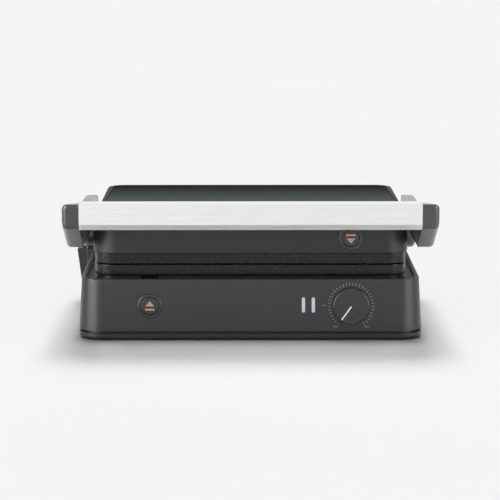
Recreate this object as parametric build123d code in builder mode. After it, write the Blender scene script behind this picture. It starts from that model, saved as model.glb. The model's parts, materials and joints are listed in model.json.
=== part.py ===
from build123d import *
import os
from math import cos, radians, sin, tan

# Contact grill: a base with a ribbed plate, and a lid with a second ribbed plate that hangs
# between two arms joined by a handle bar. +Z is up, the front faces -Y, and the origin is on the
# table under the middle of the object. The heights below are measured from a level 2 mm above
# the table, and every finished piece is lifted by that much.

os.makedirs("parts", exist_ok=True)

LIFT = 2.0

# ---- base ----
BASE_TOP = 60.0
BASE_SKIRT = 7.8
BASE_HALF_WIDTH = 170.3
BASE_FRONT = -115.0
BASE_REAR = 143.0
BASE_CORNER = 21.0
DRAFT = 3.4
NOTCH_FRONT = 118.0
NOTCH_HALF_WIDTH = 148.4
WALL = 2.6
FLOOR_BOTTOM = -1.1
FLOOR_INSIDE = 1.6
FLOOR_STEP = 5.0
FLOOR_TOP = 12.0
FOOT_RADIUS = 10.0
GUTTER_DEPTH = 3.5
GUTTER_HALF_WIDTH = 166.0
GUTTER_FRONT = -111.0
GUTTER_REAR = 112.0
PLATEAU_HALF_WIDTH = 153.0
PLATEAU_FRONT = -93.0

# ---- front panel controls, along and up the drafted front wall ----
PANEL_CENTRE = 33.0
CONTROL_X = 101.0
KNOB_RADIUS = 18.2
KNOB_HEIGHT = 4.8
KNOB_GAP = 0.5
SHAFT_RADIUS = 3.0
POINTER_TURN = 216.0
LIGHT_X = (53.1, 63.0)
LIGHT_SIZE = (15.4, 3.3)
LOWER_BUTTON_RADIUS = 9.1
UPPER_BUTTON_RADIUS = 8.5
RING_RADIUS = 12.4
RING_HEIGHT = 1.5
BUTTON_HEIGHT = 1.3
BUTTON_DEPTH = 10.8
STEM_END = 31.2
GUIDE_DEPTH = 20.0

# ---- plates and heat ----
PLATE_HALF_WIDTH = 157.5
PLATE_FRONT = -97.0
PLATE_REAR = 117.0
PLATE_CORNER = 19.0
PLATE_HEIGHT = 11.0
PLATE_FLOOR = 4.0
PLATE_RIM = 4.0
RIB_HEIGHT = 6.2
RIB_PITCH = 12.0
RIB_COUNT = 24
LOWER_PLATE_BOTTOM = 61.0
UPPER_PLATE_TOP = 83.6
DRAIN = (110.0, 105.5)
CATCH_REACH = 11.0
LOWER_CATCH_Y = -94.0
UPPER_CATCH_Y = -80.5
PAN_HALF_WIDTH = 145.0
PAN_REAR = 92.0
LOWER_PAN_FRONT = -70.0
UPPER_PAN_FRONT = -56.0
PAN_DEPTH = 14.0
SHEET = 0.8
ELEMENT_RADIUS = 3.25

# ---- lid ----
LID_BOTTOM = 84.0
LID_BREAK = 114.0
LID_LEAN = 23.0
LID_HALF_WIDTH = 159.3
LID_FRONT = -103.0
LID_REAR = 123.0
LID_CORNER = 25.0
LID_TOP_MID = 130.2
LID_TOP_FALL = 7.0 / 210.0
PANEL_HALF_WIDTH = 147.5
PANEL_THICKNESS = 2.2
PANEL_GAP = 0.6
UPPER_BUTTON_Z = 99.5

# ---- hinge, arms and handle ----
HINGE_Y = 138.5
HINGE_Z = 70.8
PIN_RADIUS = 4.0
RUNNING_GAP = 0.05
POST_INNER = 137.0
POST_OUTER = 147.6
STEM_OUTER = 144.6
POST_HEAD_RADIUS = 13.0
POST_Y = HINGE_Y - 6.0
POST_HALF_DEPTH = 6.0
POST_FOOT = 28.0
SLOT_GAP = 0.4
GUIDE_WIDTH = 4.6
BARREL_INNER = 149.6
ARM_INNER = 168.6
ARM_OUTER = 185.5
ARM_OUTER_REAR = 183.3
KNUCKLE_RADIUS = 16.5
HINGE_CAP_OUTER = 188.4
LID_PIVOT = (0.0, 100.0)
HANDLE_FRONT = -155.0
HANDLE_REAR = -133.0
HANDLE_TOP = 141.0
HANDLE_BOTTOM = 115.0
HANDLE_BREAK = 120.6
HANDLE_SKIN = 2.2

# ---- drip tray ----
TRAY_INNER_END = -40.0
TRAY_FRONT = 62.0
TRAY_REAR = 112.0
TRAY_BOTTOM = 12.2
TRAY_TOP = 34.0
TRAY_WALL = 2.0

# ---- flat-open release at the left rear ----
RELEASE_FRONT = 92.0
RELEASE_REAR = 117.0
RELEASE_TOP = 59.6
RELEASE_GROOVE = 178.4
LEVER_INNER = 179.4
LEVER_OUTER_TOP = 188.4
LEVER_OUTER_BOTTOM = 183.0
LEVER_BOTTOM = 14.0
TONGUE_Y = 105.0
TONGUE_Z = 33.0

# ---- power inlet in the rear wall ----
INLET_X = -95.0
INLET_Z = 28.0
INLET_RADIUS = 10.0
INLET_TUBE_RADIUS = 6.9

SLOPE = tan(radians(DRAFT))


def finish(piece, label):
    """Name a finished piece and write it to its own file."""
    lifted = piece.part.moved(Location((0, 0, LIFT)))
    lifted.label = label
    export_step(lifted, f"parts/{label}.step")


def mirrored(right_piece):
    """The left-hand copy of a right-hand piece."""
    with BuildPart() as left_piece:
        mirror(right_piece.part, about=Plane.YZ)
    return left_piece


def base_plan(level, inset):
    """Plan of the base at a height, with both rear corners notched, moved inwards by inset."""
    grow = (BASE_TOP - level) * SLOPE - inset
    side, neck = BASE_HALF_WIDTH + grow, NOTCH_HALF_WIDTH + grow
    front, step, rear = BASE_FRONT - grow, NOTCH_FRONT + grow, BASE_REAR + grow
    with BuildSketch(Plane.XY.offset(level)) as outline:
        with BuildLine():
            Polyline((-side, front), (side, front), (side, step), (neck, step), (neck, rear),
                     (-neck, rear), (-neck, step), (-side, step), close=True)
        make_face()
        fillet(outline.vertices().group_by(Axis.Y)[0], BASE_CORNER + grow)
        fillet(outline.vertices().group_by(Axis.X)[0].sort_by(Axis.Y)[-1], 12 + grow)
        fillet(outline.vertices().group_by(Axis.X)[-1].sort_by(Axis.Y)[-1], 12 + grow)
        fillet(outline.vertices().group_by(Axis.Y)[-1], 7 + grow)
    return outline.sketch


def rounded_plan(level, half_width, front, rear, corner):
    """Plan of a rounded rectangle between two Y places, at a height."""
    with BuildSketch(Plane.XY.offset(level)) as outline:
        with Locations((0, (front + rear) / 2)):
            RectangleRounded(2 * half_width, rear - front, corner)
    return outline.sketch


def panel_y(level):
    """Y of the base's drafted front wall at a height."""
    return BASE_FRONT - (BASE_TOP - level) * SLOPE


# The drafted front wall: local X is X, local Y runs up the wall, the normal faces out.
FRONT_PANEL = Plane(origin=(0, panel_y(PANEL_CENTRE), PANEL_CENTRE), x_dir=(1, 0, 0),
                    z_dir=(0, -cos(radians(DRAFT)), sin(radians(DRAFT))))
LID_WALL = Plane(origin=(0, LID_FRONT, UPPER_BUTTON_Z), x_dir=(1, 0, 0), z_dir=(0, -1, 0))
LID_TOP = Plane(origin=(0, 10, LID_TOP_MID), x_dir=(1, 0, 0), z_dir=(0, LID_TOP_FALL, 1))

with BuildPart() as base_envelope:
    extrude(base_plan(BASE_SKIRT, 0), amount=BASE_TOP - BASE_SKIRT, taper=DRAFT)


def gutter_plan(level, grow):
    """Plan of the gutter along the front and sides of the lower plate, widened by grow."""
    length = GUTTER_REAR - GUTTER_FRONT
    with BuildSketch(Plane.XY.offset(level)) as outline:
        with Locations((0, GUTTER_FRONT + length / 2)):
            RectangleRounded(2 * (GUTTER_HALF_WIDTH + grow), length + 2 * grow, 18 + grow)
        with Locations((0, PLATEAU_FRONT + grow + length / 2)):
            RectangleRounded(2 * (PLATEAU_HALF_WIDTH - grow), length, 14, mode=Mode.SUBTRACT)
    return outline.sketch


# ======== base shell ========
DECK_OPENING_FRONT = LOWER_PAN_FRONT - 2
BOSSES = [(-150, -96), (150, -96), (-150, 84), (150, 44)]
STEM_MIDDLE = (POST_INNER + STEM_OUTER) / 2
STEM_WIDTH = STEM_OUTER - POST_INNER

with BuildPart() as base_shell:
    extrude(base_plan(BASE_SKIRT, 0), amount=BASE_TOP - BASE_SKIRT, taper=DRAFT)
    fillet(base_shell.faces().sort_by(Axis.Z)[-1].edges(), 1.2)
    extrude(base_plan(BASE_SKIRT, WALL), amount=BASE_TOP - WALL - BASE_SKIRT, taper=DRAFT,
            mode=Mode.SUBTRACT)
    # gutter, a trough hanging from the deck
    extrude(gutter_plan(BASE_TOP - GUTTER_DEPTH - WALL, WALL), amount=GUTTER_DEPTH + WALL / 2)
    # screw posts under the deck, each with a pilot hole
    with BuildSketch(Plane.XY.offset(FLOOR_TOP)):
        with Locations(*BOSSES):
            Circle(5)
    extrude(amount=BASE_TOP - WALL - FLOOR_TOP)
    with BuildSketch(Plane.XY.offset(FLOOR_TOP)):
        with Locations(*BOSSES):
            Circle(1.6)
    extrude(amount=20, mode=Mode.SUBTRACT)
    extrude(gutter_plan(BASE_TOP - GUTTER_DEPTH, 0), amount=GUTTER_DEPTH, mode=Mode.SUBTRACT)
    # well for the reflector pan, slot for the plate catch, hole for the drain spout
    extrude(rounded_plan(BASE_TOP - 10, PAN_HALF_WIDTH + 1, DECK_OPENING_FRONT, PAN_REAR + 2, 12),
            amount=20, mode=Mode.SUBTRACT)
    with BuildSketch(Plane.XY.offset(BASE_TOP - 10)):
        with Locations((-CONTROL_X, LOWER_CATCH_Y + 7.5)):
            Rectangle(20, 19)
        with Locations(DRAIN):
            Circle(7)
        # mouths for the two hinge posts
        with Locations((-STEM_MIDDLE, POST_Y), (STEM_MIDDLE, POST_Y)):
            Rectangle(STEM_WIDTH + 2 * SLOT_GAP, 2 * (POST_HALF_DEPTH + SLOT_GAP))
    extrude(amount=20, mode=Mode.SUBTRACT)
    # holes in the front wall: knob shaft, lower button ring, two lights
    with BuildSketch(FRONT_PANEL.offset(5)):
        with Locations((CONTROL_X, 0)):
            Circle(5)
        with Locations((-CONTROL_X, 0)):
            Circle(RING_RADIUS - 1)
        for light_x in LIGHT_X:
            with Locations((light_x, 1)):
                SlotOverall(*LIGHT_SIZE, rotation=90)
    extrude(amount=-15, mode=Mode.SUBTRACT)
    # mouth of the drip tray in the right wall
    with Locations((165, (TRAY_FRONT + TRAY_REAR) / 2, (TRAY_BOTTOM + TRAY_TOP) / 2)):
        Box(20, TRAY_REAR - TRAY_FRONT + 1, TRAY_TOP - TRAY_BOTTOM + 1, mode=Mode.SUBTRACT)
    # hole for the power inlet in the rear wall
    with BuildSketch(Plane.XZ.offset(-BASE_REAR - 6)):
        with Locations((INLET_X, INLET_Z)):
            Circle(INLET_TUBE_RADIUS + 0.1)
    extrude(amount=16, mode=Mode.SUBTRACT)
    # slot for the release lever's tongue in the left wall
    with Locations((-168, TONGUE_Y, TONGUE_Z)):
        Box(12, 15, 6.6, mode=Mode.SUBTRACT)
finish(base_shell, "base_shell")

# ======== base floor, feet, screws ========
FEET = [(-138, -88), (138, -88), (-138, 92), (138, 92)]

with BuildPart() as base_floor:
    extrude(base_plan(FLOOR_BOTTOM, 0.8), amount=FLOOR_STEP - FLOOR_BOTTOM)
    fillet(base_floor.faces().sort_by(Axis.Z)[0].edges(), 2.6)
    extrude(base_plan(FLOOR_STEP, 5.2), amount=FLOOR_TOP - FLOOR_STEP)
    extrude(base_plan(FLOOR_INSIDE, 7.6), amount=FLOOR_TOP, mode=Mode.SUBTRACT)
    # raised pads that the screw posts stand on
    with BuildSketch(Plane.XY.offset(FLOOR_INSIDE)):
        with Locations(*BOSSES):
            Circle(6.5)
    extrude(amount=FLOOR_TOP - FLOOR_INSIDE)
    with BuildSketch(Plane.XY.offset(FLOOR_BOTTOM)):
        with Locations(*FEET):
            Circle(FOOT_RADIUS)
        with Locations(*BOSSES):
            Circle(3.4)
    extrude(amount=1.5, mode=Mode.SUBTRACT)
    with BuildSketch(Plane.XY.offset(FLOOR_BOTTOM)):
        with Locations(*BOSSES):
            Circle(1.9)
        # cooling slots
        with Locations((0, 0)):
            with GridLocations(14, 0, 9, 1):
                SlotOverall(50, 4, rotation=90)
    extrude(amount=FLOOR_TOP - FLOOR_BOTTOM, mode=Mode.SUBTRACT)
finish(base_floor, "base_floor")

with BuildPart() as rubber_feet:
    with BuildSketch(Plane.XY.offset(-LIFT)):
        with Locations(*FEET):
            Circle(FOOT_RADIUS)
    extrude(amount=LIFT + FLOOR_BOTTOM + 1.5)
    chamfer(rubber_feet.edges().group_by(Axis.Z)[0], 0.8)
finish(rubber_feet, "rubber_feet")

with BuildPart() as base_screws:
    with BuildSketch(Plane.XY.offset(FLOOR_BOTTOM + 0.2)):
        with Locations(*BOSSES):
            Circle(3.2)
    extrude(amount=1.3)
    with BuildSketch(Plane.XY.offset(FLOOR_BOTTOM + 1.5)):
        with Locations(*BOSSES):
            Circle(1.6)
    extrude(amount=20)
    with BuildSketch(Plane.XY.offset(FLOOR_BOTTOM + 0.2)):
        with Locations(*BOSSES):
            Rectangle(3.6, 0.8)
            Rectangle(0.8, 3.6)
    extrude(amount=0.8, mode=Mode.SUBTRACT)
finish(base_screws, "base_screws")


# ======== grill plates ========
def grill_plate(back, up, catch_x, catch_y):
    """Ribbed plate built from its back plane, up = 1 or -1, with a tab for the release latch.

    The tab stands off the back of the plate and ends in a ledge that the latch holds.
    """
    floor_level = back + up * PLATE_FLOOR
    with BuildPart() as plate:
        extrude(rounded_plan(back, PLATE_HALF_WIDTH, PLATE_FRONT, PLATE_REAR, PLATE_CORNER),
                amount=up * PLATE_HEIGHT)
        fillet(plate.faces().sort_by(Axis.Z)[0 if up > 0 else -1].edges(), 0.8)
        extrude(rounded_plan(floor_level, PLATE_HALF_WIDTH - PLATE_RIM, PLATE_FRONT + PLATE_RIM,
                             PLATE_REAR - PLATE_RIM, PLATE_CORNER - PLATE_RIM),
                amount=up * PLATE_HEIGHT, mode=Mode.SUBTRACT)
        fillet(plate.faces().sort_by(Axis.Z)[-1 if up > 0 else 0].edges(), 1.0)
        with BuildSketch(Plane.XY.offset(floor_level)):
            with Locations((0, 6)):
                with GridLocations(RIB_PITCH, 0, RIB_COUNT, 1):
                    SlotOverall(186, 6.4, rotation=90)
        extrude(amount=up * RIB_HEIGHT, taper=12)
        with Locations((catch_x, catch_y + 1.5, back - up * CATCH_REACH / 2)):
            Box(14, 3, CATCH_REACH)
        with Locations((catch_x, catch_y + 4, back - up * (CATCH_REACH - 1.5))):
            Box(14, 8, 3)
    return plate


with BuildPart() as lower_grill_plate:
    add(grill_plate(LOWER_PLATE_BOTTOM, 1, -CONTROL_X, LOWER_CATCH_Y).part)
    with BuildSketch(Plane.XY.offset(LOWER_PLATE_BOTTOM - 9)):
        with Locations(DRAIN):
            Circle(6)
    extrude(amount=10)
    with BuildSketch(Plane.XY.offset(LOWER_PLATE_BOTTOM - 10)):
        with Locations(DRAIN):
            Circle(4)
    extrude(amount=20, mode=Mode.SUBTRACT)
finish(lower_grill_plate, "lower_grill_plate")

with BuildPart() as upper_grill_plate:
    add(grill_plate(UPPER_PLATE_TOP, -1, CONTROL_X, UPPER_CATCH_Y).part)
finish(upper_grill_plate, "upper_grill_plate")


# ======== reflector pans and heating elements ========
def reflector_pan(rim, up, front):
    """Thin open pan whose flange lies at rim and whose floor is PAN_DEPTH away from it."""
    with BuildPart() as pan:
        extrude(rounded_plan(rim, PAN_HALF_WIDTH, front, PAN_REAR, 11), amount=-up * PAN_DEPTH)
        extrude(rounded_plan(rim, PAN_HALF_WIDTH + 6, front - 2, PAN_REAR + 5, 14),
                amount=-up * SHEET)
        extrude(rounded_plan(rim, PAN_HALF_WIDTH - SHEET, front + SHEET, PAN_REAR - SHEET, 10),
                amount=-up * (PAN_DEPTH - SHEET), mode=Mode.SUBTRACT)
    return pan


lower_reflector = reflector_pan(LOWER_PLATE_BOTTOM, 1, LOWER_PAN_FRONT)
finish(lower_reflector, "lower_reflector")
upper_reflector = reflector_pan(LID_BOTTOM + WALL + SHEET, -1, UPPER_PAN_FRONT)
finish(upper_reflector, "upper_reflector")


def heating_element(level, front):
    """Tubular element bent to a long loop, with both cold ends on the left."""
    left, right, rear = -PAN_HALF_WIDTH + 12, PAN_HALF_WIDTH - 14, PAN_REAR - 14
    with BuildPart() as element:
        with BuildLine() as path:
            FilletPolyline((left, front + 14, level), (right, front + 14, level),
                           (right, rear, level), (left, rear, level), radius=26)
        with BuildSketch(Plane(origin=path.line @ 0, z_dir=path.line % 0)):
            Circle(ELEMENT_RADIUS)
        sweep()
    return element


lower_heating_element = heating_element(LOWER_PLATE_BOTTOM - ELEMENT_RADIUS - 0.4,
                                        LOWER_PAN_FRONT)
finish(lower_heating_element, "lower_heating_element")
upper_heating_element = heating_element(LID_BOTTOM + WALL + SHEET + ELEMENT_RADIUS + 0.4,
                                        UPPER_PAN_FRONT)
finish(upper_heating_element, "upper_heating_element")

# ======== dial, thermostat and lights ========
with BuildPart() as control_knob:
    with BuildSketch(FRONT_PANEL.offset(KNOB_GAP)):
        with Locations((CONTROL_X, 0)):
            Circle(KNOB_RADIUS)
    extrude(amount=KNOB_HEIGHT)
    fillet(control_knob.edges().sort_by(Axis.Y)[0], 1.2)
    with BuildSketch(FRONT_PANEL.offset(KNOB_GAP)):
        with Locations((CONTROL_X, 0)):
            Circle(SHAFT_RADIUS)
    extrude(amount=3, mode=Mode.SUBTRACT)
finish(control_knob, "control_knob")

POINTER_X = sin(radians(POINTER_TURN))
POINTER_Y = cos(radians(POINTER_TURN))
with BuildPart() as knob_pointer:
    with BuildSketch(FRONT_PANEL.offset(KNOB_GAP + KNOB_HEIGHT)):
        with Locations((CONTROL_X + 8.4 * POINTER_X, 8.4 * POINTER_Y)):
            SlotOverall(16.8, 1.3, rotation=90 - POINTER_TURN)
    extrude(amount=0.25)
finish(knob_pointer, "knob_pointer")

with BuildPart() as knob_shaft:
    with BuildSketch(FRONT_PANEL.offset(KNOB_GAP + 3)):
        with Locations((CONTROL_X, 0)):
            Circle(SHAFT_RADIUS)
    extrude(amount=-24)
finish(knob_shaft, "knob_shaft")

with BuildPart() as thermostat_body:
    with BuildSketch(FRONT_PANEL.offset(-WALL)):
        with Locations((CONTROL_X, 0)):
            RectangleRounded(36, 30, 3)
    extrude(amount=-24)
    with BuildSketch(FRONT_PANEL.offset(-WALL)):
        with Locations((CONTROL_X, 0)):
            Circle(SHAFT_RADIUS + RUNNING_GAP)
    extrude(amount=-20, mode=Mode.SUBTRACT)
finish(thermostat_body, "thermostat_body")

for side_name, light_x in zip(("left", "right"), LIGHT_X):
    with BuildPart() as indicator_light:
        with BuildSketch(FRONT_PANEL.offset(0.3)):
            with Locations((light_x, 1)):
                SlotOverall(*LIGHT_SIZE, rotation=90)
        extrude(amount=-9)
        fillet(indicator_light.edges().group_by(Axis.Y)[0], 0.25)
    finish(indicator_light, f"indicator_light_{side_name}")

with BuildPart() as control_board:
    with BuildSketch(FRONT_PANEL.offset(-9)):
        with Locations((58, 0)):
            Rectangle(34, 28)
    extrude(amount=-1.6)
    with BuildSketch(FRONT_PANEL.offset(-10.6)):
        with Locations((50, 6), (64, -5)):
            Rectangle(9, 7)
    extrude(amount=-6)
finish(control_board, "control_board")


# ======== release buttons ========
def button_ring(wall, centre_x, hole_radius):
    """Ring let into a wall around a button, with its flange on the face of the wall."""
    with BuildPart() as ring:
        with BuildSketch(wall):
            with Locations((centre_x, 0)):
                Circle(RING_RADIUS)
        extrude(amount=RING_HEIGHT)
        fillet(ring.edges().sort_by(Axis.Y)[0], 1.2)
        with BuildSketch(wall):
            with Locations((centre_x, 0)):
                Circle(RING_RADIUS - 1)
        extrude(amount=-10)
        with BuildSketch(wall.offset(2)):
            with Locations((centre_x, 0)):
                Circle(hole_radius)
        extrude(amount=-14, mode=Mode.SUBTRACT)
    return ring


def release_button(wall, centre_x, radius):
    """Round push button with a stem that runs back to the latch."""
    with BuildPart() as button:
        with BuildSketch(wall.offset(BUTTON_HEIGHT)):
            with Locations((centre_x, 0)):
                Circle(radius)
        extrude(amount=-BUTTON_DEPTH - BUTTON_HEIGHT)
        fillet(button.edges().sort_by(Axis.Y)[0], 1.0)
        with BuildSketch(wall.offset(-BUTTON_DEPTH)):
            with Locations((centre_x, 0)):
                Circle(SHAFT_RADIUS)
        extrude(amount=BUTTON_DEPTH - STEM_END)
    return button


def button_mark(wall, centre_x, up):
    """Flat triangle over a bar, or the same upside down, standing on the button's face."""
    with BuildPart() as mark:
        with BuildSketch(wall.offset(BUTTON_HEIGHT)):
            with Locations((centre_x, up * 1.6)):
                Triangle(a=9.2, b=7.0, c=7.0, rotation=0 if up > 0 else 180)
            with Locations((centre_x, -up * 3.4)):
                Rectangle(9.4, 1.7)
        extrude(amount=0.15)
    return mark


def spring_guide(wall, centre_x):
    """Plate that the button's stem slides in and its spring pushes against."""
    with BuildPart() as guide:
        with BuildSketch(wall.offset(-GUIDE_DEPTH)):
            with Locations((centre_x, 0)):
                RectangleRounded(24, 22, 2)
                Circle(SHAFT_RADIUS + 0.4, mode=Mode.SUBTRACT)
        extrude(amount=-2)
    return guide


def button_spring(wall, centre_x):
    """Coil spring round the stem, from the back of the button to the guide."""
    start = wall.offset(0.4 - GUIDE_DEPTH).from_local_coords((centre_x, 0, 0))
    with BuildPart() as spring:
        with BuildLine() as coil:
            Helix(pitch=2.0, height=8.0, radius=4.6, center=start, direction=wall.z_dir)
        with BuildSketch(Plane(origin=coil.line @ 0, z_dir=coil.line % 0)):
            Circle(0.45)
        sweep()
    return spring


for name, wall, centre_x, radius, up in (
        ("lower", FRONT_PANEL, -CONTROL_X, LOWER_BUTTON_RADIUS, 1),
        ("upper", LID_WALL, CONTROL_X, UPPER_BUTTON_RADIUS, -1)):
    finish(button_ring(wall, centre_x, radius + 0.3), f"{name}_button_ring")
    finish(release_button(wall, centre_x, radius), f"{name}_release_button")
    finish(button_mark(wall, centre_x, up), f"{name}_button_mark")
    finish(spring_guide(wall, centre_x), f"{name}_spring_guide")
    finish(button_spring(wall, centre_x), f"{name}_button_spring")


def release_latch(wall, centre_x, back, up):
    """Plate on the end of the stem whose lip holds the ledge on the tab of a grill plate."""
    stem = wall.offset(-STEM_END).from_local_coords((centre_x, 0, 0))
    front = stem.Y + 0.2
    lip = back - up * (CATCH_REACH - 4.6)
    top = lip + 1.25 * up
    bottom = stem.Z - 5 * up
    with BuildPart() as latch:
        with Locations((centre_x, front + 1.5, (top + bottom) / 2)):
            Box(12, 3, abs(top - bottom))
        with Locations((centre_x, front - 2, lip)):
            Box(12, 4, 2.5)
        fillet(latch.edges().filter_by(Axis.X).sort_by(Axis.Y)[:2], 0.6)
    return latch


finish(release_latch(FRONT_PANEL, -CONTROL_X, LOWER_PLATE_BOTTOM, 1), "lower_release_latch")
finish(release_latch(LID_WALL, CONTROL_X, UPPER_PLATE_TOP, -1), "upper_release_latch")


# ======== drip tray and its rails ========
TRAY_MIDDLE = (TRAY_FRONT + TRAY_REAR) / 2
TRAY_LENGTH = 166 - TRAY_INNER_END
TRAY_X = (TRAY_INNER_END + 166) / 2
with BuildPart() as drip_tray:
    # the end plate follows the base's drafted wall
    with Locations((170, TRAY_MIDDLE, (TRAY_BOTTOM + TRAY_TOP) / 2)):
        Box(12, TRAY_REAR - TRAY_FRONT, TRAY_TOP - TRAY_BOTTOM)
    add(base_envelope.part, mode=Mode.INTERSECT)
    with Locations((TRAY_X, TRAY_MIDDLE, (TRAY_BOTTOM + TRAY_TOP) / 2)):
        Box(TRAY_LENGTH, TRAY_REAR - TRAY_FRONT, TRAY_TOP - TRAY_BOTTOM)
    with Locations((TRAY_X, TRAY_MIDDLE, (TRAY_BOTTOM + TRAY_TOP) / 2 + TRAY_WALL)):
        Box(TRAY_LENGTH - 4 * TRAY_WALL, TRAY_REAR - TRAY_FRONT - 2 * TRAY_WALL,
            TRAY_TOP - TRAY_BOTTOM, mode=Mode.SUBTRACT)
    # finger scoop in the end plate
    with BuildSketch(Plane.XZ.offset(-TRAY_MIDDLE + 14)):
        with Locations((173.5, 17)):
            Circle(6)
    extrude(amount=-28, mode=Mode.SUBTRACT)
finish(drip_tray, "drip_tray")

with BuildPart() as tray_rails:
    for rail_y in (TRAY_FRONT + 4, TRAY_REAR - 6):
        with Locations((60, rail_y, (FLOOR_INSIDE + TRAY_BOTTOM) / 2 - 0.05)):
            Box(190, 4, TRAY_BOTTOM - FLOOR_INSIDE - 0.1)
finish(tray_rails, "tray_rails")

# ======== power inlet ========
with BuildPart() as power_inlet:
    flange_y = BASE_REAR + (BASE_TOP - INLET_Z + INLET_RADIUS) * SLOPE + 0.1
    with BuildSketch(Plane.XZ.offset(-flange_y)):
        with Locations((INLET_X, INLET_Z)):
            Circle(INLET_RADIUS)
    extrude(amount=-4)
    fillet(power_inlet.edges().sort_by(Axis.Y)[-1], 1.5)
    with BuildSketch(Plane.XZ.offset(-BASE_REAR - 3)):
        with Locations((INLET_X, INLET_Z)):
            Circle(INLET_TUBE_RADIUS)
    extrude(amount=8)
    with BuildSketch(Plane.XZ.offset(-BASE_REAR - 10)):
        with Locations((INLET_X, INLET_Z)):
            Circle(3.6)
    extrude(amount=30, mode=Mode.SUBTRACT)
finish(power_inlet, "power_inlet")

# ======== floating hinge: posts that rise in guides, joined by a bar ========
with BuildPart() as hinge_post_right:
    with BuildSketch(Plane.YZ.offset(POST_INNER)):
        with Locations((HINGE_Y, HINGE_Z)):
            Circle(POST_HEAD_RADIUS)
        with Locations((POST_Y, (POST_FOOT + HINGE_Z) / 2)):
            Rectangle(2 * POST_HALF_DEPTH, HINGE_Z - POST_FOOT)
        with Locations((HINGE_Y, HINGE_Z)):
            Circle(PIN_RADIUS, mode=Mode.SUBTRACT)
    extrude(amount=POST_OUTER - POST_INNER)
    # below the head only the stem is left, which goes down through the deck
    with Locations((STEM_OUTER, POST_Y + POST_HALF_DEPTH + 20, BASE_TOP - 3)):
        Box(20, 40, 7, mode=Mode.SUBTRACT)
    with Locations((STEM_OUTER + 5, POST_Y, BASE_TOP - 19.5)):
        Box(10, 80, 40, mode=Mode.SUBTRACT)
finish(hinge_post_right, "hinge_post_right")
finish(mirrored(hinge_post_right), "hinge_post_left")

with BuildPart() as hinge_crossbar:
    with Locations((0, POST_Y, POST_FOOT + 5)):
        Box(2 * POST_INNER, 8, 8)
finish(hinge_crossbar, "hinge_crossbar")

with BuildPart() as post_guide_right:
    with Locations((POST_INNER + GUIDE_WIDTH / 2 - 0.2, POST_Y, BASE_TOP - WALL - 10.4)):
        Box(GUIDE_WIDTH, 2 * POST_HALF_DEPTH + 4, 20.8)
        Box(GUIDE_WIDTH, 2 * (POST_HALF_DEPTH + SLOT_GAP), 20.8, mode=Mode.SUBTRACT)
finish(post_guide_right, "post_guide_right")
finish(mirrored(post_guide_right), "post_guide_left")

with BuildPart() as hinge_pin_right:
    with BuildSketch(Plane.YZ.offset(POST_INNER - 2)):
        with Locations((HINGE_Y, HINGE_Z)):
            Circle(PIN_RADIUS)
    extrude(amount=178 - POST_INNER + 2)
    with BuildSketch(Plane.YZ.offset(POST_INNER - 2)):
        with Locations((HINGE_Y, HINGE_Z)):
            Circle(PIN_RADIUS + 2.5)
    extrude(amount=2)
finish(hinge_pin_right, "hinge_pin_right")
finish(mirrored(hinge_pin_right), "hinge_pin_left")

# ======== arms ========
with BuildPart() as arm_right:
    with BuildSketch(Plane.YZ.offset(ARM_INNER)) as arm_side:
        with BuildLine():
            under = Polyline((HINGE_Y - KNUCKLE_RADIUS, HINGE_Z),
                             (HINGE_Y - KNUCKLE_RADIUS, 87), (-98, 90), (-150.5, 115.8),
                             (HANDLE_FRONT, HANDLE_BREAK), (HANDLE_FRONT, HANDLE_TOP), (77, 113),
                             (HINGE_Y + KNUCKLE_RADIUS, 113),
                             (HINGE_Y + KNUCKLE_RADIUS, HINGE_Z))
            ThreePointArc(under @ 1, (HINGE_Y, HINGE_Z - KNUCKLE_RADIUS), under @ 0)
        make_face()
        fillet(arm_side.vertices().sort_by_distance((HINGE_Y + KNUCKLE_RADIUS, 113, 0))[0], 20)
        fillet(arm_side.vertices().sort_by_distance((HINGE_Y - KNUCKLE_RADIUS, 87, 0))[0], 10)
        fillet(arm_side.vertices().sort_by_distance((77, 113, 0))[0], 60)
        fillet(arm_side.vertices().sort_by_distance((-98, 90, 0))[0], 3)
        fillet(arm_side.vertices().sort_by_distance((HANDLE_FRONT, HANDLE_TOP, 0))[0], 3)
    extrude(amount=ARM_OUTER - ARM_INNER)
    split(bisect_by=Plane(origin=(ARM_OUTER, HANDLE_FRONT, 0), x_dir=(0, 0, 1),
                          z_dir=(-2 * HANDLE_FRONT, ARM_OUTER - ARM_OUTER_REAR, 0)),
          keep=Keep.BOTTOM)
    fillet(arm_right.faces().sort_by(Axis.X)[-1].edges(), 5)
    with BuildSketch(Plane.YZ.offset(ARM_INNER)):
        with Locations((HINGE_Y, HINGE_Z)):
            Circle(PIN_RADIUS + RUNNING_GAP)
    extrude(amount=10.5, mode=Mode.SUBTRACT)
    with BuildSketch(Plane.YZ.offset(ARM_INNER)):
        with Locations(LID_PIVOT):
            Circle(PIN_RADIUS)
    extrude(amount=9, mode=Mode.SUBTRACT)
finish(arm_right, "arm_right")
finish(mirrored(arm_right), "arm_left")

with BuildPart() as hinge_barrel_right:
    with BuildSketch(Plane.YZ.offset(BARREL_INNER)):
        with Locations((HINGE_Y, HINGE_Z)):
            Circle(POST_HEAD_RADIUS)
            Circle(PIN_RADIUS + RUNNING_GAP, mode=Mode.SUBTRACT)
    extrude(amount=ARM_INNER - BARREL_INNER)
    fillet(hinge_barrel_right.faces().sort_by(Axis.X)[0].outer_wire().edges(), 1)
finish(hinge_barrel_right, "hinge_barrel_right")
finish(mirrored(hinge_barrel_right), "hinge_barrel_left")

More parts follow.
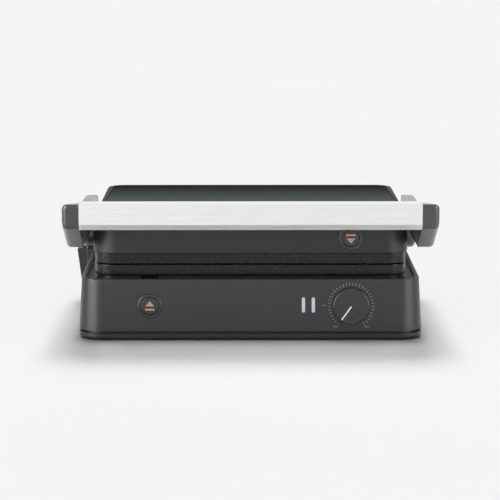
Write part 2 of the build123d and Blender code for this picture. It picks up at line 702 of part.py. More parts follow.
with BuildPart() as hinge_cap_right:
    with BuildSketch(Plane.YZ.offset(ARM_OUTER_REAR)):
        with Locations((HINGE_Y, HINGE_Z)):
            Circle(10.5)
    extrude(amount=HINGE_CAP_OUTER - ARM_OUTER_REAR)
    fillet(hinge_cap_right.faces().sort_by(Axis.X)[-1].edges(), 2.5)
    split(bisect_by=Plane(origin=(ARM_OUTER, HANDLE_FRONT, 0), x_dir=(0, 0, 1),
                          z_dir=(-2 * HANDLE_FRONT, ARM_OUTER - ARM_OUTER_REAR, 0)),
          keep=Keep.TOP)
finish(hinge_cap_right, "hinge_cap_right")
finish(mirrored(hinge_cap_right), "hinge_cap_left")

with BuildPart() as lid_pivot_right:
    with BuildSketch(Plane.YZ.offset(LID_HALF_WIDTH - 9)):
        with Locations(LID_PIVOT):
            Circle(PIN_RADIUS)
    extrude(amount=ARM_INNER + 9 - LID_HALF_WIDTH + 9)
    with BuildSketch(Plane.YZ.offset(LID_HALF_WIDTH + 0.5)):
        with Locations(LID_PIVOT):
            Circle(PIN_RADIUS + 4)
    extrude(amount=ARM_INNER - LID_HALF_WIDTH - 0.5)
finish(lid_pivot_right, "lid_pivot_right")
finish(mirrored(lid_pivot_right), "lid_pivot_left")


# ======== handle ========
def handle_section(inset, rear):
    """Section of the handle bar in the YZ plane, moved inwards by inset and open at the rear."""
    with BuildSketch(Plane.YZ.offset(-ARM_INNER)) as section:
        with BuildLine():
            Polyline((rear, HANDLE_BOTTOM + inset), (-151.4 + 0.7 * inset, HANDLE_BOTTOM + inset),
                     (HANDLE_FRONT + inset, HANDLE_BREAK + 0.3 * inset),
                     (HANDLE_FRONT + inset, HANDLE_TOP - inset), (rear, HANDLE_TOP - inset),
                     close=True)
        make_face()
        top_front = (HANDLE_FRONT + inset, HANDLE_TOP - inset, 0)
        fillet(section.vertices().sort_by_distance(top_front)[0], 2.6 - inset / 2)
    return section.sketch


with BuildPart() as handle_bar:
    extrude(handle_section(0, HANDLE_REAR), amount=2 * ARM_INNER)
    extrude(handle_section(HANDLE_SKIN, HANDLE_REAR + 1), amount=2 * ARM_INNER,
            mode=Mode.SUBTRACT)
finish(handle_bar, "handle_bar")

with BuildPart() as handle_core:
    extrude(handle_section(HANDLE_SKIN, HANDLE_REAR + 3.5), amount=2 * ARM_INNER)
    fillet(handle_core.edges().filter_by(Axis.X).group_by(Axis.Y)[-1], 3)
finish(handle_core, "handle_core")


# ======== lid ========
def lid_plan(level, inset):
    """Plan of the lid at a height, moved inwards by inset."""
    return rounded_plan(level, LID_HALF_WIDTH - inset, LID_FRONT + inset, LID_REAR - inset,
                        LID_CORNER - inset)


LID_OPENING_FRONT = UPPER_PAN_FRONT - 0.5
with BuildPart() as lid_lower_shell:
    extrude(lid_plan(LID_BOTTOM, 0), amount=LID_BREAK - LID_BOTTOM)
    fillet(lid_lower_shell.faces().sort_by(Axis.Z)[0].edges(), 1.0)
    extrude(lid_plan(LID_BOTTOM + WALL, WALL), amount=LID_BREAK, mode=Mode.SUBTRACT)
    extrude(rounded_plan(LID_BOTTOM - 5, PAN_HALF_WIDTH - 2, LID_OPENING_FRONT, PAN_REAR - 2, 9),
            amount=20, mode=Mode.SUBTRACT)
    with Locations((CONTROL_X, -70, LID_BOTTOM)):
        Box(20, 30, 12, mode=Mode.SUBTRACT)
    with BuildSketch(LID_WALL.offset(5)):
        with Locations((CONTROL_X, 0)):
            Circle(RING_RADIUS - 1)
    extrude(amount=-15, mode=Mode.SUBTRACT)
    with BuildSketch(Plane.YZ.offset(-200)):
        with Locations(LID_PIVOT):
            Circle(PIN_RADIUS + RUNNING_GAP)
    extrude(amount=400, mode=Mode.SUBTRACT)
finish(lid_lower_shell, "lid_lower_shell")


def lid_block(inset):
    """Leaning upper half of the lid as one solid, cut by the sloping top, moved inwards."""
    with BuildPart() as block:
        extrude(lid_plan(LID_BREAK, inset), amount=30, taper=LID_LEAN)
        split(bisect_by=LID_TOP.offset(-inset), keep=Keep.BOTTOM)
    return block.part


def top_panel_sketch(gap):
    """Outline of the inset top panel, grown by gap."""
    with BuildSketch(LID_TOP) as outline:
        with Locations((0, 3)):
            RectangleRounded(2 * (PANEL_HALF_WIDTH + gap), 201 + 2 * gap, 12)
    return outline.sketch


with BuildPart() as lid_cover:
    add(lid_block(0))
    fillet(lid_cover.faces().sort_by(Axis.Z)[-1].edges(), 4)
    add(lid_block(WALL + PANEL_THICKNESS), mode=Mode.SUBTRACT)
    extrude(top_panel_sketch(PANEL_GAP), amount=-PANEL_THICKNESS, mode=Mode.SUBTRACT)
finish(lid_cover, "lid_cover")

with BuildPart() as lid_top_panel:
    extrude(top_panel_sketch(0), amount=-PANEL_THICKNESS)
    fillet(lid_top_panel.faces().sort_by(Axis.Z)[-1].edges(), 0.5)
finish(lid_top_panel, "lid_top_panel")

with BuildPart() as pivot_bushing_right:
    with BuildSketch(Plane.YZ.offset(LID_HALF_WIDTH - WALL)):
        with Locations(LID_PIVOT):
            Circle(PIN_RADIUS + 4)
            Circle(PIN_RADIUS + RUNNING_GAP, mode=Mode.SUBTRACT)
    extrude(amount=-7)
finish(pivot_bushing_right, "pivot_bushing_right")
finish(mirrored(pivot_bushing_right), "pivot_bushing_left")

LID_SCREW_X = LID_HALF_WIDTH - WALL - 2.9
LID_SCREWS = [(x, y) for x in (-LID_SCREW_X, LID_SCREW_X) for y in (-40, 80)]
with BuildPart() as lid_screws:
    with BuildSketch(Plane.XY.offset(LID_BOTTOM + WALL)):
        with Locations(*LID_SCREWS):
            Circle(2.7)
    extrude(amount=2)
    with BuildSketch(Plane.XY.offset(LID_BOTTOM + WALL + 2)):
        with Locations(*LID_SCREWS):
            Circle(1.6)
    extrude(amount=14)
finish(lid_screws, "lid_screws")

# ======== flat-open release ========
RELEASE_MIDDLE = (RELEASE_FRONT + RELEASE_REAR) / 2
with BuildPart() as release_housing:
    with Locations((-(RELEASE_GROOVE + 160) / 2, RELEASE_MIDDLE, (RELEASE_TOP + LEVER_BOTTOM) / 2)):
        Box(RELEASE_GROOVE - 160, RELEASE_REAR - RELEASE_FRONT, RELEASE_TOP - LEVER_BOTTOM)
    fillet(release_housing.edges().filter_by(Axis.Z).group_by(Axis.X)[0], 1.5)
    fillet(release_housing.faces().sort_by(Axis.Z)[-1].edges(), 1)
    add(base_envelope.part, mode=Mode.SUBTRACT)
    with Locations((-174, TONGUE_Y, TONGUE_Z)):
        Box(24, 15, 6.6, mode=Mode.SUBTRACT)
finish(release_housing, "release_housing")

with BuildPart() as release_lever:
    with BuildSketch(Plane.XZ.offset(-RELEASE_REAR)):
        with BuildLine():
            Polyline((-LEVER_INNER, RELEASE_TOP), (-LEVER_OUTER_TOP, RELEASE_TOP),
                     (-LEVER_OUTER_BOTTOM, LEVER_BOTTOM + 4), (-LEVER_OUTER_BOTTOM + 2,
                     LEVER_BOTTOM), (-LEVER_INNER, LEVER_BOTTOM), close=True)
        make_face()
    extrude(amount=RELEASE_REAR - RELEASE_FRONT - 3)
    fillet(release_lever.faces().sort_by(Axis.Z)[-1].edges(), 1.2)
    # tongue that slides in the housing's slot
    with Locations((-(LEVER_INNER + 168) / 2, TONGUE_Y + 2.5, TONGUE_Z)):
        Box(LEVER_INNER - 168, 8, 6)
finish(release_lever, "release_lever")

with BuildPart() as release_spring:
    with BuildLine() as release_coil:
        Helix(pitch=1.0, height=4.6, radius=2.0, center=(-174, TONGUE_Y - 6.9, TONGUE_Z),
              direction=(0, 1, 0))
    with BuildSketch(Plane(origin=release_coil.line @ 0, z_dir=release_coil.line % 0)):
        Circle(0.3)
    sweep()
finish(release_spring, "release_spring")
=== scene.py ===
import json
import math

import bmesh
import bpy
from mathutils import Matrix, Vector


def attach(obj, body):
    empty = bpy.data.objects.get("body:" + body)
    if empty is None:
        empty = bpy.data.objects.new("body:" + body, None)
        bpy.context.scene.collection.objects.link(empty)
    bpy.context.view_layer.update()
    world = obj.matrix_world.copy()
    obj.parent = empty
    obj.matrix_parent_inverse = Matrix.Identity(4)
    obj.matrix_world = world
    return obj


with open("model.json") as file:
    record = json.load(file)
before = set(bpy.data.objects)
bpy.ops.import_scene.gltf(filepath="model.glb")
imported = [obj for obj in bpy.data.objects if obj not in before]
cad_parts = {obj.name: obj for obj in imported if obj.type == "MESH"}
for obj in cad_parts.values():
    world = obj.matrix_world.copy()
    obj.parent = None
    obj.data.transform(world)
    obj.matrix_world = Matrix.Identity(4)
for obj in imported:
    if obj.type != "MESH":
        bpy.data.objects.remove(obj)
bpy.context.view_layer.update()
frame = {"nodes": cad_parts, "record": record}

MM = 0.001
EDGE_WEAR_AND_SHEEN_RADIUS = 0.6 * MM
JOINTS = {joint["name"]: joint for joint in frame["record"]["behaviour"]["joints"]}


# ---------------------------------------------------------------------------
# Node helpers
# ---------------------------------------------------------------------------

def new_material(name):
    """An empty node material with a Principled shader on its output."""
    material = bpy.data.materials.new(name)
    material.use_nodes = True
    tree = material.node_tree
    tree.nodes.clear()
    output = tree.nodes.new("ShaderNodeOutputMaterial")
    shader = tree.nodes.new("ShaderNodeBsdfPrincipled")
    tree.links.new(shader.outputs["BSDF"], output.inputs["Surface"])
    return material, tree, shader


def object_space(tree, stretch=(1, 1, 1)):
    """Position on the object in metres, which doesn't move with the view."""
    place = tree.nodes.new("ShaderNodeTexCoord")
    mapping = tree.nodes.new("ShaderNodeMapping")
    mapping.inputs["Scale"].default_value = stretch
    tree.links.new(place.outputs["Object"], mapping.inputs["Vector"])
    return mapping.outputs["Vector"]


def noise(tree, scale, detail=2.0, roughness=0.5, stretch=(1, 1, 1)):
    """Factor of a noise whose grains are about 1 / scale metres."""
    node = tree.nodes.new("ShaderNodeTexNoise")
    node.inputs["Scale"].default_value = scale
    node.inputs["Detail"].default_value = detail
    node.inputs["Roughness"].default_value = roughness
    tree.links.new(object_space(tree, stretch), node.inputs["Vector"])
    return node.outputs["Fac"]


def spread(tree, factor, low, high, start=0.3, end=0.7):
    """Spreads a factor between two numbers."""
    node = tree.nodes.new("ShaderNodeMapRange")
    node.inputs["From Min"].default_value = start
    node.inputs["From Max"].default_value = end
    node.inputs["To Min"].default_value = low
    node.inputs["To Max"].default_value = high
    tree.links.new(factor, node.inputs["Value"])
    return node.outputs["Result"]


def blend_colours(tree, factor, colour_a, colour_b):
    """Mixes two colours, each a plain colour or another node's output, by a factor."""
    node = tree.nodes.new("ShaderNodeMix")
    node.data_type = "RGBA"
    for socket, colour in ((node.inputs[6], colour_a), (node.inputs[7], colour_b)):
        if isinstance(colour, tuple):
            socket.default_value = (*colour, 1)
        else:
            tree.links.new(colour, socket)
    tree.links.new(factor, node.inputs[0])
    return node.outputs[2]


def combine(tree, operation, first, second):
    """Arithmetic on two factors; either may be a number."""
    node = tree.nodes.new("ShaderNodeMath")
    node.operation = operation
    for socket, value in ((node.inputs[0], first), (node.inputs[1], second)):
        if isinstance(value, (int, float)):
            socket.default_value = value
        else:
            tree.links.new(value, socket)
    return node.outputs[0]


def bump(tree, shader, height, distance, below=None):
    """Roughens the shader's normal by a height factor over a distance in metres."""
    node = tree.nodes.new("ShaderNodeBump")
    node.inputs["Distance"].default_value = distance
    node.inputs["Strength"].default_value = 1.0
    tree.links.new(height, node.inputs["Height"])
    if below is not None:
        tree.links.new(below, node.inputs["Normal"])
    tree.links.new(node.outputs["Normal"], shader.inputs["Normal"])
    return node.outputs["Normal"]


def edge_wear_and_sheen(tree):
    """Near 1 on sharp edges, worked out from a rounded normal."""
    bevel = tree.nodes.new("ShaderNodeBevel")
    bevel.samples = 4
    bevel.inputs["Radius"].default_value = EDGE_WEAR_AND_SHEEN_RADIUS
    geometry = tree.nodes.new("ShaderNodeNewGeometry")
    dot = tree.nodes.new("ShaderNodeVectorMath")
    dot.operation = "DOT_PRODUCT"
    tree.links.new(bevel.outputs["Normal"], dot.inputs[0])
    tree.links.new(geometry.outputs["Normal"], dot.inputs[1])
    return spread(tree, dot.outputs["Value"], 1.0, 0.0, 0.80, 0.99)


# ---------------------------------------------------------------------------
# Materials
# ---------------------------------------------------------------------------

def shade(colour, factor, lift=0.0):
    """A colour multiplied by a factor and lifted, no channel over 1."""
    return tuple(min(1, channel * factor + lift) for channel in colour)


def moulded_plastic(name, colour, roughness, grain=2600, depth=0.012 * MM, specular=0.5,
                    wear_and_edge_sheen=0.5, front=1.0):
    """Fine spark-eroded moulding texture, a little cloudy, paler along edges: partly worn, partly
    a painted edge highlight.

    Grain is in grains per metre and depth in metres. The colour is multiplied by front at the
    front of the object and fades to its own at the rear, a painted highlight at the front and
    painted shade towards the rear.
    """
    material, tree, shader = new_material(name)
    cloud = spread(tree, noise(tree, 14, 3), 0, 1)
    body = blend_colours(tree, cloud, shade(colour, 0.93), shade(colour, 1.07))
    # painted light: the colour turns paler towards the front as a painted highlight and stays
    # darker towards the rear as painted shade
    if front != 1.0:
        axes = tree.nodes.new("ShaderNodeSeparateXYZ")
        tree.links.new(object_space(tree), axes.inputs["Vector"])
        painted_front_light = spread(tree, axes.outputs["Y"], 1, 0, -0.09, 0.10)
        body = blend_colours(tree, painted_front_light, body, shade(colour, front))
    speck = spread(tree, noise(tree, grain * 0.5, 1), 0, 0.35, 0.45, 0.75)
    body = blend_colours(tree, speck, body, shade(colour, 1.35, 0.004))
    # edges made paler: partly real rubbing, and where this is set high a painted highlight along
    # the edges
    patches = spread(tree, noise(tree, 60, 4), 0, wear_and_edge_sheen)
    rubbed_and_sheen = combine(tree, "MULTIPLY", edge_wear_and_sheen(tree), patches)
    body = blend_colours(tree, rubbed_and_sheen, body, shade(colour, 2.1, 0.02))
    tree.links.new(body, shader.inputs["Base Color"])
    shader.inputs["Specular IOR Level"].default_value = specular
    smudge = spread(tree, noise(tree, 22, 5, 0.6), roughness - 0.05, roughness + 0.05)
    tree.links.new(smudge, shader.inputs["Roughness"])
    bump(tree, shader, noise(tree, grain, 2), depth)
    return material


def satin_aluminium(name, colour, roughness):
    """Metal with a fine lengthwise brushing, in tone, roughness and height."""
    material, tree, shader = new_material(name)
    lines = noise(tree, 1, 3, 0.6, (5, 2200, 2200))
    tone = blend_colours(tree, spread(tree, lines, 0, 1, 0.25, 0.75),
                         shade(colour, 0.985), shade(colour, 1.01))
    tree.links.new(tone, shader.inputs["Base Color"])
    shader.inputs["Metallic"].default_value = 1.0
    shader.inputs["Anisotropic"].default_value = 0.15
    tree.links.new(spread(tree, lines, roughness - 0.03, roughness + 0.03),
                   shader.inputs["Roughness"])
    bump(tree, shader, lines, 0.0012 * MM)
    return material


def coated_metal(name, colour, roughness, flake, metallic):
    """Sprayed satin coat with tiny flakes and a trace of orange peel."""
    material, tree, shader = new_material(name)
    flakes = spread(tree, noise(tree, 3800, 1), 0, flake, 0.55, 0.8)
    cloud = spread(tree, noise(tree, 18, 3), 0, 1)
    body = blend_colours(tree, cloud, shade(colour, 0.94), shade(colour, 1.06))
    body = blend_colours(tree, flakes, body, shade(colour, 3))
    patches = spread(tree, noise(tree, 70, 4), 0, 0.2)
    rubbed_and_sheen = combine(tree, "MULTIPLY", edge_wear_and_sheen(tree), patches)
    body = blend_colours(tree, rubbed_and_sheen, body, shade(colour, 2, 0.03))
    tree.links.new(body, shader.inputs["Base Color"])
    shader.inputs["Metallic"].default_value = metallic
    smudge = spread(tree, noise(tree, 26, 4), roughness - 0.04, roughness + 0.05)
    tree.links.new(smudge, shader.inputs["Roughness"])
    peel = bump(tree, shader, noise(tree, 420, 2), 0.010 * MM)
    bump(tree, shader, noise(tree, 3000, 1), 0.004 * MM, peel)
    return material


def non_stick_coating(name):
    """Dark non-stick coat over cast aluminium: pale specks and faint casting streaks."""
    material, tree, shader = new_material(name)
    streaks = noise(tree, 1, 4, 0.65, (22, 160, 900))
    body = blend_colours(tree, spread(tree, streaks, 0, 1),
                         (0.004, 0.0043, 0.0046), (0.017, 0.018, 0.019))
    specks = spread(tree, noise(tree, 1500, 2, 0.7), 0, 0.8, 0.60, 0.72)
    body = blend_colours(tree, specks, body, (0.16, 0.165, 0.165))
    tree.links.new(body, shader.inputs["Base Color"])
    shader.inputs["Metallic"].default_value = 0.2
    shader.inputs["Specular IOR Level"].default_value = 0.38
    tree.links.new(spread(tree, noise(tree, 240, 4, 0.7), 0.13, 0.34), shader.inputs["Roughness"])
    coarse = bump(tree, shader, noise(tree, 300, 4, 0.7), 0.022 * MM)
    bump(tree, shader, streaks, 0.018 * MM, coarse)
    return material


def bare_steel(name, colour=(0.55, 0.55, 0.54), roughness=0.32, brush=(900, 900, 900)):
    """Plain machined or drawn metal with fine marks and dull patches."""
    material, tree, shader = new_material(name)
    marks = noise(tree, 1, 3, 0.6, brush)
    patches = spread(tree, noise(tree, 90, 4), 0, 1)
    tree.links.new(blend_colours(tree, patches, shade(colour, 0.8), colour),
                   shader.inputs["Base Color"])
    shader.inputs["Metallic"].default_value = 1.0
    tree.links.new(spread(tree, marks, roughness - 0.08, roughness + 0.12),
                   shader.inputs["Roughness"])
    bump(tree, shader, marks, 0.006 * MM)
    return material


def foot_rubber(name):
    """Matte black rubber with a dusty bloom."""
    material, tree, shader = new_material(name)
    bloom = spread(tree, noise(tree, 180, 5, 0.7), 0, 0.7, 0.45, 0.75)
    tree.links.new(blend_colours(tree, bloom, (0.018, 0.018, 0.018), (0.07, 0.068, 0.065)),
                   shader.inputs["Base Color"])
    tree.links.new(spread(tree, bloom, 0.7, 0.9, 0, 1), shader.inputs["Roughness"])
    bump(tree, shader, noise(tree, 900, 3), 0.03 * MM)
    return material


def frosted_lens(name):
    """Milky light window with a fine frost and a faint light behind it."""
    material, tree, shader = new_material(name)
    frost = spread(tree, noise(tree, 1400, 2), 0, 1)
    tree.links.new(blend_colours(tree, frost, (0.60, 0.61, 0.63), (0.72, 0.73, 0.75)),
                   shader.inputs["Base Color"])
    tree.links.new(spread(tree, frost, 0.28, 0.42, 0, 1), shader.inputs["Roughness"])
    shader.inputs["Coat Weight"].default_value = 0.3
    shader.inputs["Emission Color"].default_value = (0.9, 0.92, 1.0, 1)
    shader.inputs["Emission Strength"].default_value = 0.26
    bump(tree, shader, noise(tree, 1400, 2), 0.01 * MM)
    return material


def printed_ink(name, colour, metallic=0.0, roughness=0.4, painted_glow=0.0):
    """Pad-printed mark with slightly uneven ink, whose colour may also be given off as emission,
    painted light since ink is no lamp.
    """
    material, tree, shader = new_material(name)
    uneven = spread(tree, noise(tree, 1700, 3, 0.7), 0, 1)
    tree.links.new(blend_colours(tree, uneven, shade(colour, 0.82), colour),
                   shader.inputs["Base Color"])
    shader.inputs["Metallic"].default_value = metallic
    # painted light: the ink's own colour given off as emission, though the ink is no lamp
    shader.inputs["Emission Color"].default_value = (*colour, 1)
    shader.inputs["Emission Strength"].default_value = painted_glow
    tree.links.new(spread(tree, uneven, roughness - 0.05, roughness + 0.1, 0, 1),
                   shader.inputs["Roughness"])
    bump(tree, shader, noise(tree, 1700, 3), 0.006 * MM)
    return material


# ---------------------------------------------------------------------------
# Looks of the CAD pieces
# ---------------------------------------------------------------------------

# the high edge setting paints a pale highlight along the casing's edges, besides real rubbing
CASING = moulded_plastic("casing_plastic", (0.040, 0.0425, 0.046), 0.34, wear_and_edge_sheen=0.8)
LID_PLASTIC = moulded_plastic("lid_plastic", (0.026, 0.028, 0.029), 0.40, specular=0.42, wear_and_edge_sheen=0.9)
LID_COVER = moulded_plastic("lid_cover", (0.020, 0.022, 0.0225), 0.55, grain=3200,
                            depth=0.008 * MM, specular=0.06)
# the panel's colour is 6.5 times paler at its front edge than at its rear: a painted highlight in
# front and painted shade behind, not the panel's own colour
LID_PANEL_PAINTED_LIGHT = moulded_plastic("lid_panel_painted_light", (0.0172, 0.0195, 0.0195), 0.6, grain=3200,
                            depth=0.008 * MM, specular=0.0, front=6.5)
CONTROL = moulded_plastic("control_plastic", (0.046, 0.048, 0.051), 0.27, grain=3400,
                          depth=0.006 * MM)
INNER = moulded_plastic("inner_plastic", (0.07, 0.07, 0.07), 0.5, grain=1500, depth=0.02 * MM)
NYLON = moulded_plastic("nylon", (0.62, 0.61, 0.56), 0.5, grain=1500, depth=0.01 * MM, wear_and_edge_sheen=0.1)
BOARD = moulded_plastic("circuit_board", (0.02, 0.09, 0.035), 0.3, grain=900, depth=0.02 * MM)
ARM_PAINT = coated_metal("arm_paint", (0.096, 0.099, 0.097), 0.23, flake=0.12, metallic=0.45)
HANDLE = satin_aluminium("handle_aluminium", (0.825, 0.825, 0.815), 0.28)
PLATE = non_stick_coating("plate_coating")
SHEET = bare_steel("bright_sheet", (0.75, 0.75, 0.75), 0.3, (40, 40, 900))
STEEL = bare_steel("steel")
ELEMENT = bare_steel("element_tube", (0.22, 0.2, 0.18), 0.45)
RUBBER = foot_rubber("foot_rubber")
LENS = frosted_lens("light_lens")
COPPER = printed_ink("copper_mark", (0.60, 0.37, 0.25), metallic=0.6, roughness=0.38)
# the printed pointer gives off light though it is no lamp: painted light
WHITE_INK_PAINTED_GLOW = printed_ink("pointer_white", (0.88, 0.88, 0.89), painted_glow=0.45)
GREY_INK = printed_ink("scale_ink", (0.50, 0.505, 0.51), roughness=0.5)

LOOKS = {
    "base_shell": CASING, "base_floor": CASING, "release_housing": CASING, "release_lever": CASING,
    "power_inlet": INNER, "lid_lower_shell": LID_PLASTIC, "lid_cover": LID_COVER,
    "lid_top_panel": LID_PANEL_PAINTED_LIGHT, "control_knob": CONTROL, "lower_button_ring": CONTROL,
    "upper_button_ring": CONTROL, "lower_release_button": CONTROL, "upper_release_button": CONTROL,
    "handle_bar": HANDLE, "handle_core": INNER, "lower_grill_plate": PLATE,
    "upper_grill_plate": PLATE, "lower_reflector": SHEET, "upper_reflector": SHEET,
    "hinge_crossbar": STEEL, "knob_shaft": STEEL, "base_screws": STEEL, "lid_screws": STEEL,
    "lower_heating_element": ELEMENT, "upper_heating_element": ELEMENT,
    "lower_button_spring": STEEL, "upper_button_spring": STEEL, "release_spring": STEEL,
    "lower_release_latch": STEEL, "upper_release_latch": STEEL, "rubber_feet": RUBBER,
    "lower_button_mark": COPPER, "upper_button_mark": COPPER, "knob_pointer": WHITE_INK_PAINTED_GLOW,
    "thermostat_body": INNER, "control_board": BOARD, "tray_rails": INNER, "drip_tray": CASING,
    "lower_spring_guide": INNER, "upper_spring_guide": INNER,
}
for side in ("left", "right"):
    LOOKS[f"arm_{side}"] = ARM_PAINT
    LOOKS[f"hinge_barrel_{side}"] = ARM_PAINT
    LOOKS[f"hinge_cap_{side}"] = ARM_PAINT
    LOOKS[f"hinge_post_{side}"] = ARM_PAINT
    LOOKS[f"hinge_pin_{side}"] = STEEL
    LOOKS[f"lid_pivot_{side}"] = ARM_PAINT
    LOOKS[f"pivot_bushing_{side}"] = NYLON
    LOOKS[f"post_guide_{side}"] = INNER
    LOOKS[f"indicator_light_{side}"] = LENS

for node_name, node_object in frame["nodes"].items():
    for material_slot in node_object.material_slots:
        material_slot.material = LOOKS[node_name]


# ---------------------------------------------------------------------------
# Dial scale printed on the base round the knob
# ---------------------------------------------------------------------------

# degrees clockwise from straight up
DIAL_START = 216
DIAL_SWEEP = 288
TICKS = 34
# how many of the first marks grow from a dot to a full bar
GROWING_TICKS = 6
TICK_INNER = 20.2 * MM
TICK_OUTER = 23.6 * MM
TICK_WIDTH = 0.62 * MM
HOME_MARK_CENTRE = (-27.6 * MM, 0.6 * MM)
HOME_MARK_LENGTH = 4.6 * MM
HOME_MARK_WIDTH = 0.5 * MM
INK_THICKNESS = 0.05 * MM
INK_GAP = 0.02 * MM
LETTER_HEIGHT = 2.5 * MM
LABEL_DROP = 21.0 * MM
LABEL_APART = 15.8 * MM


def panel_frame():
    """Matrix of the base's front wall at the knob: X to the right, Y up the wall, Z outwards."""
    joint = JOINTS["knob_turn"]
    outward = -Vector(joint["axis"]).normalized()
    right = Vector((1, 0, 0))
    up = outward.cross(right)
    matrix = Matrix((right, up, outward)).transposed().to_4x4()
    matrix.translation = Vector(joint["pos_m"])
    return matrix


def add_bar(mesh, centre, length, width, turn):
    """A thin printed bar lying on the wall, its length turned clockwise from up."""
    made = bmesh.ops.create_cube(mesh, size=1)["verts"]
    size = Matrix.Diagonal((width, length, INK_THICKNESS, 1))
    place = Matrix.Translation((*centre, INK_THICKNESS / 2)) @ Matrix.Rotation(-turn, 4, "Z")
    bmesh.ops.transform(mesh, matrix=place @ size, verts=made)


def add_label(mesh, text, centre):
    """Letters as thin solid geometry, centred at a place on the wall."""
    curve = bpy.data.curves.new(text, "FONT")
    curve.body = text
    curve.size = LETTER_HEIGHT
    curve.align_x = "CENTER"
    curve.align_y = "CENTER"
    curve.extrude = INK_THICKNESS / 2
    curve.resolution_u = 4
    letters = bpy.data.objects.new(text, curve)
    bpy.context.scene.collection.objects.link(letters)
    bpy.context.view_layer.update()
    flat = bpy.data.meshes.new_from_object(letters)
    flat.transform(Matrix.Translation((*centre, INK_THICKNESS / 2)))
    mesh.from_mesh(flat)
    bpy.data.objects.remove(letters)
    bpy.data.curves.remove(curve)
    bpy.data.meshes.remove(flat)


def make_dial_scale():
    """Ring of marks that grow from dots to bars, a home mark at nine o'clock, and two labels."""
    mesh = bmesh.new()
    radius = (TICK_INNER + TICK_OUTER) / 2
    for index in range(TICKS):
        turn = math.radians(DIAL_START + DIAL_SWEEP * index / (TICKS - 1))
        growth = min(1, index / GROWING_TICKS)
        length = TICK_WIDTH + (TICK_OUTER - TICK_INNER - TICK_WIDTH) * growth
        centre = (radius * math.sin(turn), radius * math.cos(turn))
        add_bar(mesh, centre, length, TICK_WIDTH, turn)
    add_bar(mesh, HOME_MARK_CENTRE, HOME_MARK_LENGTH, HOME_MARK_WIDTH, math.radians(90))
    add_label(mesh, "MIN", (-LABEL_APART, -LABEL_DROP))
    add_label(mesh, "MAX", (LABEL_APART, -LABEL_DROP))
    mesh.transform(panel_frame() @ Matrix.Translation((0, 0, INK_GAP)))
    data = bpy.data.meshes.new("dial_scale")
    mesh.to_mesh(data)
    mesh.free()
    data.materials.append(GREY_INK)
    scale = bpy.data.objects.new("dial_scale", data)
    bpy.context.scene.collection.objects.link(scale)
    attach(scale, "base")


make_dial_scale()


# ---------------------------------------------------------------------------
# Floor, world, lights, camera
# ---------------------------------------------------------------------------

FLOOR_RADIUS = 14
FLOOR_TONES = ((0.925, 0.918, 0.922), (0.935, 0.928, 0.932))
BACKDROP = (0.930, 0.913, 0.922, 1)
# strength in front, strength behind, and the share of either that is left at the sides
WORLD_FILL = (0.42, 0.14, 0.20)
WORLD_MIRRORED = (1.12, 1.24, 0.3)
# name, place, width, height, watts
STRIPS = (
    ("left_strip", (-1.45, -1.0, 0.5), 1.5, 1.5, 62),
    ("right_strip", (1.45, -0.95, 0.5), 1.2, 1.4, 28),
)
STRIP_TARGET = (0, 0, 0.07)
# name, direction of its light, strength, width in degrees
SUNS = (
    ("key_high", (0, -0.27, -1), 0.85, 24),
    ("key_middle", (0, -0.47, -1), 1.0, 24),
    ("key_low", (0, -0.72, -1), 1.05, 26),
)
CAMERA_PLACE = (-9.5 * MM, -2350 * MM, 434 * MM)
# degrees: down from level, and to the right
CAMERA_TILT = 8.71
CAMERA_PAN = 0.230
FOCAL_LENGTH = 162.8


def make_floor():
    """A plain pale studio floor."""
    mesh = bmesh.new()
    bmesh.ops.create_circle(mesh, cap_ends=True, radius=FLOOR_RADIUS, segments=96)
    data = bpy.data.meshes.new("floor")
    mesh.to_mesh(data)
    mesh.free()
    floor = bpy.data.objects.new("floor", data)
    bpy.context.scene.collection.objects.link(floor)
    material, tree, shader = new_material("floor_paper")
    tone = spread(tree, noise(tree, 2.5, 2), 0, 1)
    tree.links.new(blend_colours(tree, tone, *FLOOR_TONES), shader.inputs["Base Color"])
    shader.inputs["Roughness"].default_value = 0.9
    shader.inputs["Specular IOR Level"].default_value = 0.1
    data.materials.append(material)


def world_light(tree, place, front, back, side):
    """Background light whose strength goes from front to back and falls towards the sides."""
    light = tree.nodes.new("ShaderNodeBackground")
    along = spread(tree, place.outputs["Y"], front, back, -0.3, 0.3)
    sideways = combine(tree, "ABSOLUTE", place.outputs["X"], 0)
    strength = combine(tree, "MULTIPLY", along, spread(tree, sideways, 1.0, side, 0.3, 0.8))
    tree.links.new(strength, light.inputs["Strength"])
    return light.outputs["Background"]


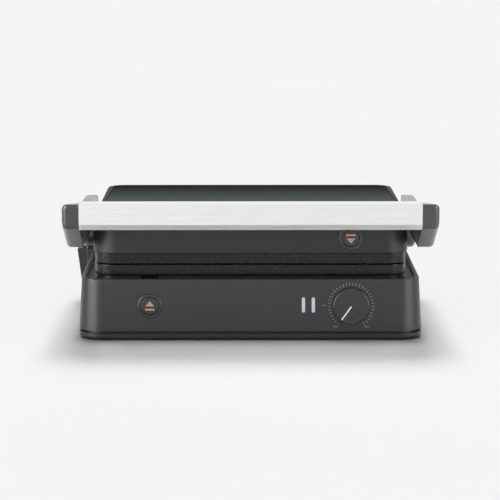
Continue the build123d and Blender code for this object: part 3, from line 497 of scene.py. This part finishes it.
def make_world():
    """White studio light, dark at the sides, with a plain pale backdrop for the camera."""
    world = bpy.data.worlds.new("studio")
    world.use_nodes = True
    bpy.context.scene.world = world
    tree = world.node_tree
    tree.nodes.clear()
    output = tree.nodes.new("ShaderNodeOutputWorld")
    backdrop = tree.nodes.new("ShaderNodeBackground")
    backdrop.inputs["Color"].default_value = BACKDROP
    place = tree.nodes.new("ShaderNodeTexCoord")
    axes = tree.nodes.new("ShaderNodeSeparateXYZ")
    tree.links.new(place.outputs["Generated"], axes.inputs["Vector"])
    fill = world_light(tree, axes, *WORLD_FILL)
    mirrored = world_light(tree, axes, *WORLD_MIRRORED)
    rays = tree.nodes.new("ShaderNodeLightPath")
    for_light = tree.nodes.new("ShaderNodeMixShader")
    tree.links.new(rays.outputs["Is Diffuse Ray"], for_light.inputs["Fac"])
    tree.links.new(mirrored, for_light.inputs[1])
    tree.links.new(fill, for_light.inputs[2])
    mix = tree.nodes.new("ShaderNodeMixShader")
    tree.links.new(rays.outputs["Is Camera Ray"], mix.inputs["Fac"])
    tree.links.new(for_light.outputs["Shader"], mix.inputs[1])
    tree.links.new(backdrop.outputs["Background"], mix.inputs[2])
    tree.links.new(mix.outputs["Shader"], output.inputs["Surface"])


def point(lamp, direction):
    """Turns a lamp, which shines along its own -Z, to a direction."""
    lamp.rotation_mode = "QUATERNION"
    lamp.rotation_quaternion = Vector(direction).to_track_quat("-Z", "Y")


def softbox(name, place, width, height, power):
    """Rectangular area light for highlights only, which leaves the floor alone."""
    data = bpy.data.lights.new(name, "AREA")
    data.shape = "RECTANGLE"
    data.size = width
    data.size_y = height
    data.energy = power
    lamp = bpy.data.objects.new(name, data)
    bpy.context.scene.collection.objects.link(lamp)
    lamp.location = place
    point(lamp, Vector(STRIP_TARGET) - lamp.location)
    lamp.visible_camera = False
    lamp.visible_diffuse = False


def sun(name, direction, strength, angle):
    """Broad sun, which lights the whole floor alike and leaves no mirrored spot."""
    data = bpy.data.lights.new(name, "SUN")
    data.energy = strength
    data.angle = math.radians(angle)
    lamp = bpy.data.objects.new(name, data)
    bpy.context.scene.collection.objects.link(lamp)
    point(lamp, direction)
    lamp.visible_glossy = False


def make_camera():
    """Long lens a little above the object, looking straight at its front."""
    data = bpy.data.cameras.new("camera")
    data.sensor_width = 36
    data.lens = FOCAL_LENGTH
    data.clip_start = 0.1
    data.clip_end = 60
    camera = bpy.data.objects.new("camera", data)
    bpy.context.scene.collection.objects.link(camera)
    camera.location = CAMERA_PLACE
    camera.rotation_euler = (math.radians(90 - CAMERA_TILT), 0, math.radians(-CAMERA_PAN))
    bpy.context.scene.camera = camera


make_floor()
make_world()
for strip in STRIPS:
    softbox(*strip)
for key in SUNS:
    sun(*key)
make_camera()
bpy.context.scene.view_settings.view_transform = "Standard"
